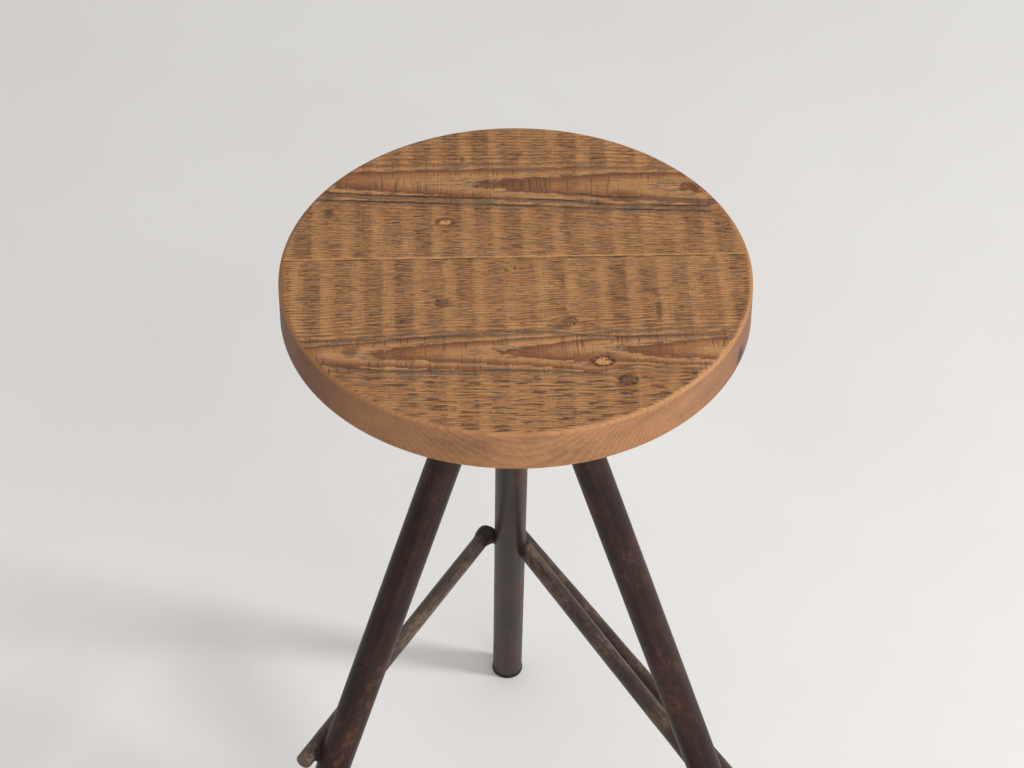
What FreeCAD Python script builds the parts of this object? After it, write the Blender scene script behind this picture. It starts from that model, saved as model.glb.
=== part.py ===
import FreeCAD, Part
import math
import os

os.makedirs("parts", exist_ok=True)

# Three leg stool, millimetres, +Z up. The origin is the floor point under the seat's axis.
# The legs stand 120 degrees apart: one behind (+Y), one front left, one front right.

# Seat
seat_height = 720.0            # floor to the top of the seat
seat_diameter = 350.0
seat_thickness = 34.0
seat_top_round = 3.5           # rounded upper rim
seat_bottom_round = 1.5        # eased lower rim
board_joint_offset = 17.0      # glue line, this far behind the seat's axis

# Legs
leg_diameter = 26.9
leg_wall = 2.3
foot_radius = 275.0            # leg axis to seat axis, at the floor
leg_top_gap = 0.7              # added to the radius at which the leg tops would touch

# Footrest rods
rod_diameter = 13.0
footrest_height = 241.0        # centre of the lowest rod, on the right side
rod_layer_gap = 3.0            # clear height between rods that cross at a leg
rod_overhang = 18.0            # rod past its contact with a leg
left_rod_rise = 10.0           # the left rod climbs this much from the back leg to the left leg
left_rod_back_overhang = -4.0  # its back end stops this far short of the contact, in the weld
rod_end_round = 2.0
rod_leg_gap = 0.1              # fit-up gap at each contact, bridged by the weld

# Inner brace bar, between the back and right legs
brace_rise = 2.0               # clear height above the right rod
brace_back_shift = 9.6         # outward shift of its end at the back leg

# Mounting plate and screws
plate_thickness = 4.0
plate_edge = 14.0              # screw centre to the plate's rim
screw_reach = 6.5              # clear space between the leg weld and a screw head
screw_count_per_gap = 2        # screws in each gap between two legs
screw_spread = 40.0            # degrees between the screws of one gap
screw_diameter = 5.0
screw_head_diameter = 10.0
screw_head_height = 3.2
screw_head_round = 2.2
screw_bite_ratio = 0.7         # length in the wood over the seat's thickness
screw_tip_length = 5.0
screw_tip_radius = 0.5
screw_hole_gap = 0.1           # radial, in the plate and in the wood
drive_width = 1.2              # arm of the cross recess
drive_span = 5.0
drive_depth = 1.6

# Welds
rod_weld_radius = 8.5
left_back_weld_radius = 11.0   # heavier weld over the left rod's back end
brace_weld_radius = 9.3
leg_weld_size = 5.0

# Foot plugs
plug_pad = 3.0                 # pad between the tube end and the floor
plug_lip = 0.6                 # pad past the tube, all round
plug_stem = 22.0
plug_gap = 0.15                # stem to tube bore

# Sizes that follow from the ones above
leg_radius = leg_diameter / 2
rod_radius = rod_diameter / 2
plate_top = seat_height - seat_thickness
leg_top = plate_top - plate_thickness
leg_azimuth = {"back": 90.0, "left": 210.0, "right": 330.0}
half_gap = math.radians(60.0)
steepest = math.atan(foot_radius / leg_top)
long_half = leg_radius / math.cos(steepest)
touch_reach = math.hypot(long_half * math.sin(half_gap), leg_radius * math.cos(half_gap))
leg_top_radius = touch_reach / math.sin(half_gap) + leg_top_gap
leg_slope = (foot_radius - leg_top_radius) / leg_top
side_slope = leg_slope * math.cos(half_gap)
side_stretch = math.hypot(1.0, side_slope)
layer_step = rod_diameter + rod_layer_gap
screw_circle = leg_top_radius + long_half + leg_weld_size + screw_reach + screw_head_diameter / 2
plate_radius = screw_circle + plate_edge
screw_bite = seat_thickness * screw_bite_ratio
brace_height = footrest_height + rod_diameter + brace_rise

# Each footrest rod: the way it faces, then for each of its legs, in turning order,
# the leg, the rod's height there, its overhang and its weld's radius.
front_height = footrest_height + layer_step
left_height = footrest_height + 2 * layer_step
rods = {
    "right": (30.0, [
        ("right", footrest_height, rod_overhang, rod_weld_radius),
        ("back", footrest_height, rod_overhang, rod_weld_radius),
    ]),
    "front": (270.0, [
        ("left", front_height, rod_overhang, rod_weld_radius),
        ("right", front_height, rod_overhang, rod_weld_radius),
    ]),
    "left": (150.0, [
        ("back", left_height, left_rod_back_overhang, left_back_weld_radius),
        ("left", left_height + left_rod_rise, rod_overhang, rod_weld_radius),
    ]),
}


def point(x, y, z):
    return FreeCAD.Vector(x, y, z)


def facing(azimuth):
    angle = math.radians(azimuth)
    return point(math.cos(angle), math.sin(angle), 0)


def across(azimuth):
    return facing(azimuth + 90.0)


def save(shape, name):
    shape.exportStep("parts/" + name + ".step")


def largest_solid(shape):
    return max(shape.Solids, key=lambda solid: solid.Volume)


def leg_distance(height):
    return foot_radius - leg_slope * height


def level_slice(shape, low, high):
    reach = foot_radius + seat_diameter
    slab = Part.makeBox(2 * reach, 2 * reach, high - low, point(-reach, -reach, low))
    return shape.common(slab)


def leg_line(name, low):
    # A leg's axis: where it passes a height, and its upward direction.
    out = facing(leg_azimuth[name])
    start = out * leg_distance(low) + point(0, 0, low)
    return start, (point(0, 0, 1) - out * leg_slope).normalize()


def leg_bar(name, radius, low, high):
    # Round bar along a leg's axis, cut level at both heights.
    start, axis = leg_line(name, low)
    spare = 2 * leg_diameter
    length = (high - low) * math.hypot(1.0, leg_slope) + 2 * spare
    return level_slice(Part.makeCylinder(radius, length, start - axis * spare, axis), low, high)


def leg_flare(name, size):
    # Cone under the plate that widens past the leg by the weld's size.
    low = leg_top - 2 * size
    start, axis = leg_line(name, low)
    length = 4 * size * math.hypot(1.0, leg_slope)
    cone = Part.makeCone(leg_radius - size, leg_radius + 3 * size, length, start, axis)
    return level_slice(cone, low, leg_top)


def round_rims(shape, diameter, radius, side):
    # Rounds the outer circle on one end of a turned shape: side 1 is the top, -1 the bottom.
    rims = [edge for edge in shape.Edges if abs(edge.Length - math.pi * diameter) < 0.01]
    rim = max(rims, key=lambda edge: side * edge.CenterOfMass.z)
    return shape.makeFillet(radius, [rim])


# Seat: one round blank, drilled for the screws, then parted along the glue line.
blank = Part.makeCylinder(seat_diameter / 2, seat_thickness, point(0, 0, plate_top))
blank = round_rims(blank, seat_diameter, seat_top_round, 1)
blank = round_rims(blank, seat_diameter, seat_bottom_round, -1)

screw_azimuths = []
for name in rods:
    middle = rods[name][0]
    first = middle - screw_spread * (screw_count_per_gap - 1) / 2
    for index in range(screw_count_per_gap):
        screw_azimuths.append(first + index * screw_spread)


def screw_hole(azimuth, low, high):
    radius = screw_diameter / 2 + screw_hole_gap
    return Part.makeCylinder(radius, high - low, facing(azimuth) * screw_circle + point(0, 0, low))


hole_top = plate_top + screw_bite + screw_hole_gap
for azimuth in screw_azimuths:
    blank = blank.cut(screw_hole(azimuth, plate_top, hole_top))

front_block = Part.makeBox(
    2 * seat_diameter,
    seat_diameter + board_joint_offset,
    2 * seat_thickness,
    point(-seat_diameter, -seat_diameter, plate_top - seat_thickness / 2),
)
save(largest_solid(blank.common(front_block)), "seat_board_front")
save(largest_solid(blank.cut(front_block)), "seat_board_rear")

# Mounting plate, flat under the seat.
plate = Part.makeCylinder(plate_radius, plate_thickness, point(0, 0, leg_top))
for azimuth in screw_azimuths:
    plate = plate.cut(screw_hole(azimuth, leg_top, plate_top))
save(plate, "mounting_plate")


def pan_head_screw(azimuth):
    # Head against the underside of the plate, shank up into the wood.
    foot = facing(azimuth) * screw_circle
    head_radius = screw_head_diameter / 2
    head_low = leg_top - screw_head_height
    head = Part.makeCylinder(head_radius, screw_head_height, foot + point(0, 0, head_low))
    head = round_rims(head, screw_head_diameter, screw_head_round, -1)
    for turn in (0.0, 90.0):
        arm = Part.makeBox(drive_span, drive_width, drive_depth)
        arm.translate(point(-drive_span / 2, -drive_width / 2, 0))
        arm.rotate(point(0, 0, 0), point(0, 0, 1), azimuth + turn)
        arm.translate(foot + point(0, 0, head_low))
        head = head.cut(arm)
    shank_radius = screw_diameter / 2
    shank_length = plate_thickness + screw_bite - screw_tip_length
    shank = Part.makeCylinder(shank_radius, shank_length, foot + point(0, 0, leg_top))
    tip = Part.makeCone(
        shank_radius,
        screw_tip_radius,
        screw_tip_length,
        foot + point(0, 0, leg_top + shank_length),
    )
    return head.fuse(shank).fuse(tip).removeSplitter()


save(Part.makeCompound([pan_head_screw(azimuth) for azimuth in screw_azimuths]), "seat_screws")

# Legs: round tubes cut level against the plate and above the foot pad.
for name in leg_azimuth:
    bore = leg_radius - leg_wall
    outside = leg_bar(name, leg_radius, plug_pad, leg_top)
    inside = leg_bar(name, bore, plug_pad - leg_wall, leg_top + leg_wall)
    save(outside.cut(inside), "leg_" + name)
    pad = leg_bar(name, leg_radius + plug_lip, 0, plug_pad)
    stem = leg_bar(name, bore - plug_gap, plug_pad, plug_pad + plug_stem)
    save(pad.fuse(stem).removeSplitter(), "foot_plug_" + name)

# The space each leg fills, as a full bar.
leg_cores = {name: leg_bar(name, leg_radius, 0, leg_top) for name in leg_azimuth}

# Weld run round the leg tops, one bead under the plate.
cluster = None
for name in leg_azimuth:
    bead = leg_flare(name, leg_weld_size)
    cluster = bead if cluster is None else cluster.fuse(bead)
for name in leg_azimuth:
    cluster = cluster.cut(leg_cores[name])
save(largest_solid(cluster), "weld_leg_cluster")


def closest_points(place, way, name):
    # The nearest points of a rod's line and a leg's axis.
    start, axis = leg_line(name, 0)
    gap = place - start
    mix = way.dot(axis)
    base = 1 - mix * mix
    on_rod = place + way * ((mix * axis.dot(gap) - way.dot(gap)) / base)
    on_leg = start + axis * ((axis.dot(gap) - mix * way.dot(gap)) / base)
    return on_rod, on_leg


def rod_contacts(name):
    # The points of a rod's axis nearest its two legs, each leg just touched, and its direction.
    azimuth, ends = rods[name]
    reach = leg_radius + rod_radius + rod_leg_gap
    places = []
    for side, (leg, height, overhang, weld_radius) in zip((-1, 1), ends):
        out = leg_distance(height) * math.cos(half_gap) + reach * side_stretch
        along = leg_distance(height) * math.sin(half_gap)
        places.append(facing(azimuth) * out + across(azimuth) * (side * along) + point(0, 0, height))
    for index in range(4):
        way = (places[1] - places[0]).normalize()
        nearest = [closest_points(place, way, end[0]) for place, end in zip(places, ends)]
        gaps = [reach - (on_rod - on_leg).Length for on_rod, on_leg in nearest]
        places = [place + facing(azimuth) * (gap * side_stretch) for place, gap in zip(places, gaps)]
    return nearest, way


# Footrest rods, each welded to the outside of two legs.
filled = []
contacts = {name: rod_contacts(name) for name in rods}
for name in rods:
    nearest, way = contacts[name]
    overhangs = [end[2] for end in rods[name][1]]
    start = nearest[0][0] - way * overhangs[0]
    finish = nearest[1][0] + way * overhangs[1]
    rod = Part.makeCylinder(rod_radius, (finish - start).Length, start, way)
    cut_ends = [edge for edge in rod.Edges if abs(edge.Length - math.pi * rod_diameter) < 0.01]
    rod = rod.makeFillet(rod_end_round, cut_ends)
    save(rod, "footrest_" + name)
    filled.append(rod)

# Inner brace bar, coped to both legs.
brace_face = rods["right"][0]
brace_along = leg_distance(brace_height) * math.sin(half_gap)
brace_out = leg_distance(brace_height) * math.cos(half_gap)
brace_ends = {
    "right": facing(brace_face) * brace_out - across(brace_face) * brace_along,
    "back": facing(brace_face) * (brace_out + brace_back_shift) + across(brace_face) * brace_along,
}
brace_start = brace_ends["right"] + point(0, 0, brace_height)
brace_run = brace_ends["back"] - brace_ends["right"]
brace = Part.makeCylinder(rod_radius, brace_run.Length, brace_start, brace_run)
for name in brace_ends:
    brace = brace.cut(leg_bar(name, leg_radius + rod_leg_gap, 0, leg_top))
brace = largest_solid(brace)
save(brace, "brace_bar")
filled.append(brace)
filled.extend(leg_cores.values())


def weld(centre, radius, name):
    # A round bead that keeps clear of every bar and every earlier bead.
    bead = Part.makeSphere(radius, centre)
    for solid in filled:
        if bead.BoundBox.intersect(solid.BoundBox):
            bead = bead.cut(solid)
    bead = largest_solid(bead)
    filled.append(bead)
    save(bead, name)


for name in rods:
    for (on_rod, on_leg), end in zip(contacts[name][0], rods[name][1]):
        centre = on_rod + (on_leg - on_rod).normalize() * rod_radius
        weld(centre, end[3], "weld_" + name + "_at_" + end[0])

brace_way = point(brace_run.x, brace_run.y, 0).normalize()
back_chord = math.sqrt(max(leg_radius ** 2 - brace_back_shift ** 2, 0))
brace_touch = {
    "right": brace_ends["right"] + brace_way * leg_radius,
    "back": brace_ends["back"] - brace_way * back_chord,
}
for name in brace_touch:
    centre = brace_touch[name] + point(0, 0, brace_height)
    weld(centre, brace_weld_radius, "weld_brace_at_" + name)
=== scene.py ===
import math
import bpy
import bmesh
import numpy as np
from mathutils import Matrix, Vector


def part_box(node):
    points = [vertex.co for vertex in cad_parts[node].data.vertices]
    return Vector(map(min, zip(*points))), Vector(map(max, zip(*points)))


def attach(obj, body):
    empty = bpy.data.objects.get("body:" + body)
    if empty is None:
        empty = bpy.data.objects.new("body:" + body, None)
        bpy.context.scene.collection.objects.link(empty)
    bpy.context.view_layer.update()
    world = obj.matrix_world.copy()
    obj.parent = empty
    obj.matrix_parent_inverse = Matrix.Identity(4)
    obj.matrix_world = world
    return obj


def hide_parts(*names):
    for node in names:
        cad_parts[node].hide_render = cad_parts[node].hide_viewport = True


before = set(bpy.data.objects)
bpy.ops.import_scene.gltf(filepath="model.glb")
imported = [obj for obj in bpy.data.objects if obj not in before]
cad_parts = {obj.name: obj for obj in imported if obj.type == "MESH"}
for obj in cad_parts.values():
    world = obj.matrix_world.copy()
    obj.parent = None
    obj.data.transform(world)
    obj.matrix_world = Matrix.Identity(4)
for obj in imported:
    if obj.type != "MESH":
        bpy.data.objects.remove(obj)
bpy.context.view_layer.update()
mm = 0.001
print("frame loaded,", len(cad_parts), "CAD nodes")

# the camera comes first: a long lens looking down on the seat
cameraSetup = {
    "place": (-0.04912, -1.88062, 2.31499),
    "pitch": 0.7366,
    "yaw": 0.0247,
    "roll": 0.0011,
    "lens": 117.57,
}


def makeCamera(setup):
    data = bpy.data.cameras.new("stoolCamera")
    data.lens, data.sensor_width, data.clip_end = setup["lens"], 36, 100
    camera = bpy.data.objects.new("stoolCamera", data)
    bpy.context.scene.collection.objects.link(camera)
    pitch, yaw, roll = setup["pitch"], setup["yaw"], setup["roll"]
    look = Vector((math.sin(yaw) * math.cos(pitch), math.cos(yaw) * math.cos(pitch), -math.sin(pitch)))
    right = Vector((math.cos(yaw), -math.sin(yaw), 0))
    up = right.cross(look)
    right, up = right * math.cos(roll) + up * math.sin(roll), up * math.cos(roll) - right * math.sin(roll)
    turn = Matrix((right, up, -look)).transposed()
    camera.matrix_world = Matrix.Translation(setup["place"]) @ turn.to_4x4()
    bpy.context.scene.camera = camera


makeCamera(cameraSetup)
print("camera placed")


# nodes by plain arithmetic: a Wire is one socket of a tree, and sums of wires make Math nodes
def plug(tree, socket, value):
    if isinstance(value, Wire):
        tree.links.new(value.socket, socket)
    elif isinstance(value, bpy.types.NodeSocket):
        tree.links.new(value, socket)
    else:
        socket.default_value = value


class Wire:
    def __init__(self, tree, socket):
        self.tree, self.socket = tree, socket

    def calc(self, operation, *others, clamp=False):
        node = self.tree.nodes.new("ShaderNodeMath")
        node.operation, node.use_clamp = operation, clamp
        for socket, value in zip(node.inputs, (self,) + others):
            plug(self.tree, socket, value)
        return Wire(self.tree, node.outputs[0])

    def __add__(self, other): return self.calc("ADD", other)
    def __sub__(self, other): return self.calc("SUBTRACT", other)
    def __mul__(self, other): return self.calc("MULTIPLY", other)
    def __truediv__(self, other): return self.calc("DIVIDE", other)
    def __neg__(self): return self.calc("MULTIPLY", -1.0)
    def __rsub__(self, other): return (-self).calc("ADD", other)
    __radd__, __rmul__ = __add__, __mul__

    # 0 below low, 1 above high, with a soft step between them
    def step(self, low, high):
        node = self.tree.nodes.new("ShaderNodeMapRange")
        node.interpolation_type = "SMOOTHSTEP"
        for name, value in (("Value", self), ("From Min", low), ("From Max", high)):
            plug(self.tree, node.inputs[name], value)
        return Wire(self.tree, node.outputs[0])

    def mixTo(self, other, amount):
        return self + (other - self) * amount if isinstance(other, Wire) else self + (-self + other) * amount


def addNode(tree, kind, values=None, **settings):
    node = tree.nodes.new(kind)
    for name, value in settings.items():
        setattr(node, name, value)
    for name, value in (values or {}).items():
        plug(tree, node.inputs[name], value)
    return node


def joinXyz(tree, x, y, z):
    return Wire(tree, addNode(tree, "ShaderNodeCombineXYZ", {"X": x, "Y": y, "Z": z}).outputs[0])


def splitXyz(tree, vector):
    node = addNode(tree, "ShaderNodeSeparateXYZ", {0: vector})
    return [Wire(tree, socket) for socket in node.outputs]


def vecCalc(tree, operation, a, b=None, scale=None):
    node = addNode(tree, "ShaderNodeVectorMath", operation=operation)
    plug(tree, node.inputs[0], a)
    if b is not None:
        plug(tree, node.inputs[1], b)
    if scale is not None:
        plug(tree, node.inputs["Scale"], scale)
    return Wire(tree, node.outputs["Value" if operation in ("DOT_PRODUCT", "LENGTH", "DISTANCE") else "Vector"])


# soft noise whose patches are about sizeX by sizeY by sizeZ; the seed slides it sideways
def noise(tree, x, y, z, sizes, seed=0.0, detail=2.0, rough=0.5):
    spot = joinXyz(tree, x * (1 / sizes[0]) + seed, y * (1 / sizes[1]), z * (1 / sizes[2]))
    node = addNode(tree, "ShaderNodeTexNoise", {"Vector": spot, "Scale": 1.0, "Detail": detail, "Roughness": rough})
    return Wire(tree, node.outputs[0])


# the same noise by the name of its patches, on one board or one metal
def namedNoise(tree, place, sizes, seed):
    def patches(name, shift=0.0, detail=2.0, rough=0.5):
        return noise(tree, *place, sizes[name], seed + shift if shift else seed, detail, rough)
    return patches


def mixColour(tree, amount, a, b, blend="MIX"):
    node = addNode(tree, "ShaderNodeMix", data_type="RGBA", blend_type=blend)
    for socket, value in ((node.inputs[0], amount), (node.inputs[6], a), (node.inputs[7], b)):
        plug(tree, socket, value)
    return Wire(tree, node.outputs[2])


def greyOf(tree, value):
    return Wire(tree, addNode(tree, "ShaderNodeCombineColor", {0: value, 1: value, 2: value}).outputs[0])


# colours are written as a paint chart gives them, 0 to 255, and turned into light values here
def paint(red, green, blue):
    return tuple(((c / 255 + 0.055) / 1.055) ** 2.4 if c > 10 else c / 3295 for c in (red, green, blue)) + (1.0,)


def newGroup(name, kind, inputs, outputs):
    tree = bpy.data.node_groups.new(name, kind)
    kinds = {"float": "NodeSocketFloat", "vector": "NodeSocketVector", "colour": "NodeSocketColor",
             "shape": "NodeSocketGeometry", "int": "NodeSocketInt", "material": "NodeSocketMaterial"}
    for inOut, sockets in (("INPUT", inputs), ("OUTPUT", outputs)):
        for socketName, socketKind, *value in sockets:
            socket = tree.interface.new_socket(socketName, in_out=inOut, socket_type=kinds[socketKind])
            if value:
                socket.default_value = value[0]
    source = tree.nodes.new("NodeGroupInput")
    sink = tree.nodes.new("NodeGroupOutput")
    return tree, {s.name: Wire(tree, s) for s in source.outputs if s.name}, sink


def sendOut(tree, sink, **values):
    for name, value in values.items():
        plug(tree, sink.inputs[name], value)


# the end of every shape tree: real faces, with their material
def sendShape(tree, sink, name, shape, finish):
    real = addNode(tree, "GeometryNodeRealizeInstances", {"Geometry": shape})
    painted = addNode(tree, "GeometryNodeSetMaterial", {"Geometry": real.outputs[0], "Material": finish})
    plug(tree, sink.inputs[name], painted.outputs[0])


def placeGroup(tree, group, values):
    kind = "ShaderNodeGroup" if tree.bl_idname == "ShaderNodeTree" else "GeometryNodeGroup"
    node = tree.nodes.new(kind)
    node.node_tree = group
    for name, value in values.items():
        plug(tree, node.inputs[name], value)
    return {s.name: Wire(tree, s) for s in node.outputs}


# the planks: a sawn softwood board is cut from a trunk, so its grain is the trunk's growth rings
seatSize = {
    "ringWidth": 2.2,      # mm of growth a year
    "sawPitch": 22.5,      # mm between the bands that the saw frame left
    "rimRound": 3.5,
    "footRound": 1.5,
    "jointGroove": 0.35,
    "cellSize": 1.02,      # mm, the mesh on the sawn face
}
planks = {
    "rear": {
        "centre": 104.0, "tilt": -0.055, "pithDepth": 68.0, "slope": 0.0147, "start": 10.0, "seed": 3.7,
        "sawShift": 0.36, "crackDark": 0.85,
        "knots": [  # x, y, half length, half width, push, darkness of core, darkness of ring
            (-51.6, 59.7, 6.4, 3.8, 1.0, -0.55, 1.1), (82.0, 86.5, 3.2, 3.0, 1.2, 0.35, 0.7)],
        "marks": [(-139.0, 72.0, 5.0, 8.0, 0.75), (-38.0, 135.0, 2.2, 5.0, 0.7), (5.0, 141.0, 5.0, 4.5, 0.55),
                  (40.0, 44.0, 4.0, 2.0, 0.5), (47.0, 118.0, 1.6, 3.0, 0.4)],
        "cracks": [((-150, 98.5), (-60, 90.3), (0, 87.2), (45, 83.5), (62, 79.6), (150, 75.5)),
                   ((-152, 88.8), (-93, 85.3), (-43, 82.0), (0, 79.3), (73, 73.5), (150, 69.0)),
                   ((30, 94.5), (57, 91.0), (70, 88.0), (100, 86.7), (150, 82.0), (160, 81.0))],
    },
    "front": {
        "centre": -88.0, "tilt": 0.004, "pithDepth": 44.0, "slope": 0.0238, "start": 98.0, "seed": 11.3,
        "sawShift": 0.03, "crackDark": 0.5,
        "knots": [(-54.6, -32.1, 4.6, 4.2, 0.9, 0.5, 1.1), (38.0, -55.0, 5.2, 3.8, 1.0, 0.55, 1.25),
                  (60.0, -99.3, 7.0, 5.2, 1.0, -0.5, 1.35), (77.4, -118.9, 5.8, 5.4, 1.0, 0.6, 1.3),
                  (88.5, -113.0, 3.0, 3.0, 0.4, 0.15, 0.4)],
        "marks": [(103.5, -45.0, 2.6, 14.0, 0.6), (-122.0, -84.0, 7.0, 6.5, 0.65), (31.0, -60.0, 7.0, 3.4, 0.55),
                  (-52.0, -35.0, 8.0, 3.2, 0.5), (74.0, -124.0, 8.0, 5.0, 0.45),
                  (66.0, -92.0, 8.0, 3.0, 0.5), (-159.0, 1.0, 2.6, 2.4, 0.5), (79.0, -136.0, 1.6, 7.0, 0.4)],
        "cracks": [((-157, -73.8), (-93, -71.5), (-52, -68.8), (7, -65.0), (60, -71.5), (157, -72.0)),
                   ((-137, -95.0), (-127, -101.5), (-67, -106.8), (0, -107.0), (40, -110.0), (60, -112.0))],
    },
}
# how long, wide and deep the patches of each pattern are, in mm along the plank, across it and downwards
grainPatch = {
    "drift": (95.0, 42.0, 60.0), "ripple": (17.0, 6.0, 14.0), "jag": (9.0, 2.2, 5.0), "torn": (13.0, 2.2, 3.0),
    "ticks": (1.5, 30.0, 30.0), "ragged": (34.0, 0.9, 1.4), "sawPatch": (40.0, 30.0, 40.0),
    "dash": (9.0, 0.66, 1.2), "wideDash": (15.0, 1.9, 2.6), "fibre": (26.0, 0.55, 0.7), "cloud": (70.0, 34.0, 50.0),
    "blot": (7.0, 2.0, 4.0), "wander": (12.0, 30.0, 30.0), "open": (26.0, 60.0, 60.0),
    "lineBreak": (22.0, 4.0, 9.0), "grey": (20.0, 3.2, 5.0), "worn": (24.0, 5.0, 9.0), "rimCloud": (8.0, 8.0, 3.0),
    "smudge": (26.0, 26.0, 10.0), "rasp": (0.7, 0.9, 7.0), "pore": (0.8, 0.8, 0.8),
}
grainRule = {
    "driftPush": 7.0, "ripplePush": 1.0,            # mm the rings wander
    "flatFrom": 15.0, "flatTo": 27.0,               # mm from the heart line: wide flames inside, fine lines outside
    "jagFine": 0.13, "jagFlat": 0.3,                # raggedness of the ring edges, in rings
    "lateFrom": 0.18, "lateTo": 0.92,               # part of a year's ring over which it darkens
    "edgeFrom": 0.86, "edgeTo": 0.985,
    "sawLean": 0.012, "sawRagged": 8.0, "sawFill": 0.56,
    "wideDashFrom": -70.0, "wideDashTo": -120.0,    # y over which the dashes grow coarse
}
boreHoles = [(-7.7, 4.2, 0.55), (-1.0, 6.1, 0.95), (11.0, 7.6, 0.6)]   # x, y, radius of the beetle holes


# one knot: how far it pushes the grain aside, its core, and the dark bark ring round it
def knotGroup(kind):
    tree, wires, sink = newGroup("knot " + kind, kind, [
        ("Position", "vector"), ("X", "float"), ("Y", "float"), ("Half Length", "float", 5.0),
        ("Half Width", "float", 4.0), ("Push", "float", 1.0), ("Seed", "float")],
        [("Shift", "float"), ("Core", "float"), ("Ring", "float"), ("Halo", "float")])
    x, y, z = splitXyz(tree, wires["Position"])
    wobble = noise(tree, x, y, z, (4.5, 3.2, 9.0), wires["Seed"], 3.0) - 0.5
    dx, dy = (x - wires["X"]) / wires["Half Length"], (y - wires["Y"]) / wires["Half Width"]
    far = (dx * dx + dy * dy).calc("SQRT") + wobble * 0.75
    wide = (dx * dx * 0.12 + dy * dy * 0.16)
    shift = dy * wires["Half Width"] * wires["Push"] * (-wide).calc("EXPONENT")
    core = 1.0 - far.step(0.62, 0.86)
    checks = noise(tree, x, y, z, (1.1, 5.0, 9.0), wires["Seed"] + 4.0, 2.0).step(0.55, 0.66)
    broken = noise(tree, x, y, z, (3.4, 2.6, 9.0), wires["Seed"] + 7.0, 3.0, 0.65).step(0.4, 0.62)
    ring = far.step(0.6, 0.9) * (1.0 - far.step(0.95, 1.5)) * broken.calc("MULTIPLY_ADD", 0.8, 0.2)
    ring = ring.calc("MAXIMUM", checks * core * 0.75)
    halo = 1.0 - far.step(0.9, 2.3)
    sendOut(tree, sink, Shift=shift, Core=core, Ring=ring, Halo=halo)
    return tree


# the growth rings and the saw's marks, on the board's own millimetres
def grainGroup(kind):
    tree, wires, sink = newGroup("plank grain " + kind, kind, [
        ("Position", "vector"), ("Shift", "float"), ("Centre", "float"), ("Tilt", "float"),
        ("Pith Depth", "float", 60.0), ("Slope", "float", 0.02), ("Start", "float"), ("Ring Width", "float", 2.2),
        ("Saw Pitch", "float", 22.5), ("Saw Shift", "float"), ("Top", "float", 720.0), ("Seed", "float")],
        [("Late", "float"), ("Edge", "float"), ("Torn", "float"), ("Flat", "float"),
         ("Ticks", "float"), ("Band", "float"), ("Stripe", "float"), ("Dashes", "float"), ("Fibre", "float"),
         ("Cloud", "float")])
    seed = wires["Seed"]
    x, y, z = splitXyz(tree, wires["Position"])
    depth = wires["Top"] - z
    rule, patches = grainRule, namedNoise(tree, (x, y, z), grainPatch, seed)
    drift = patches("drift", 0.0, 1.0) - 0.5
    ripple = patches("ripple", 5.1) - 0.5
    across = y - wires["Shift"] - wires["Centre"] - wires["Tilt"] * x
    across = across + drift * rule["driftPush"] + ripple * rule["ripplePush"]
    below = wires["Pith Depth"] - depth
    radius = (across * across + below * below).calc("SQRT")
    jag = patches("jag", 2.3, 3.0, 0.6) - 0.5
    flat = 1.0 - across.calc("ABSOLUTE").step(rule["flatFrom"], rule["flatTo"])
    age = (radius - wires["Pith Depth"] - (x + wires["Start"]) * wires["Slope"]) / wires["Ring Width"]
    age = age + jag * (flat * rule["jagFlat"] + rule["jagFine"])
    part = age.calc("FRACT")
    late = part.step(rule["lateFrom"], rule["lateTo"])
    edge = part.step(rule["edgeFrom"], rule["edgeTo"])
    tornNoise = patches("torn", 7.7, 3.0, 0.6)
    torn = tornNoise.step(0.48, 0.57) * (1.0 - part.step(0.14, 0.36))
    tickNoise = noise(tree, x + y * 0.02 + jag * 1.6, y, z, grainPatch["ticks"], seed + 9.9, 1.5)
    ticks = tickNoise.step(0.57, 0.66) * part.step(0.15, 0.45)
    ragged = patches("ragged", 13.0, 2.0, 0.6) - 0.5
    saw = x + y * rule["sawLean"] + ripple * 2.2 + ragged * rule["sawRagged"]
    turn = saw / wires["Saw Pitch"] + wires["Saw Shift"]
    band = turn.calc("FRACT")
    cell = addNode(tree, "ShaderNodeTexWhiteNoise", {"W": turn.calc("FLOOR") + seed}, noise_dimensions="1D")
    strength = Wire(tree, cell.outputs["Value"]) * 0.6 + 0.4
    patch = patches("sawPatch", 4.4, 1.0).step(0.3, 0.62)
    stripe = band.step(0.6, 0.7) * (1.0 - band.step(0.88, 0.98)) * (patch * 0.6 + 0.4)
    band = (1.0 - band.step(rule["sawFill"], rule["sawFill"] + 0.18)) * band.step(0.0, 0.14)
    band = band * strength * patch.calc("MULTIPLY_ADD", 0.6, 0.4)
    dashNoise = patches("dash", 1.7, 2.5, 0.62)
    wideDash = patches("wideDash", 6.2, 2.5, 0.55)
    dashes = dashNoise.mixTo(wideDash, y.step(rule["wideDashFrom"], rule["wideDashTo"]))
    fibre = patches("fibre", 8.1, 3.0, 0.6)
    cloud = patches("cloud", 3.1)
    sendOut(tree, sink, Late=late, Edge=edge, Torn=torn, Flat=flat, Ticks=ticks, Band=band, Stripe=stripe,
            Dashes=dashes, Fibre=fibre, Cloud=cloud)
    return tree


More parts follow.
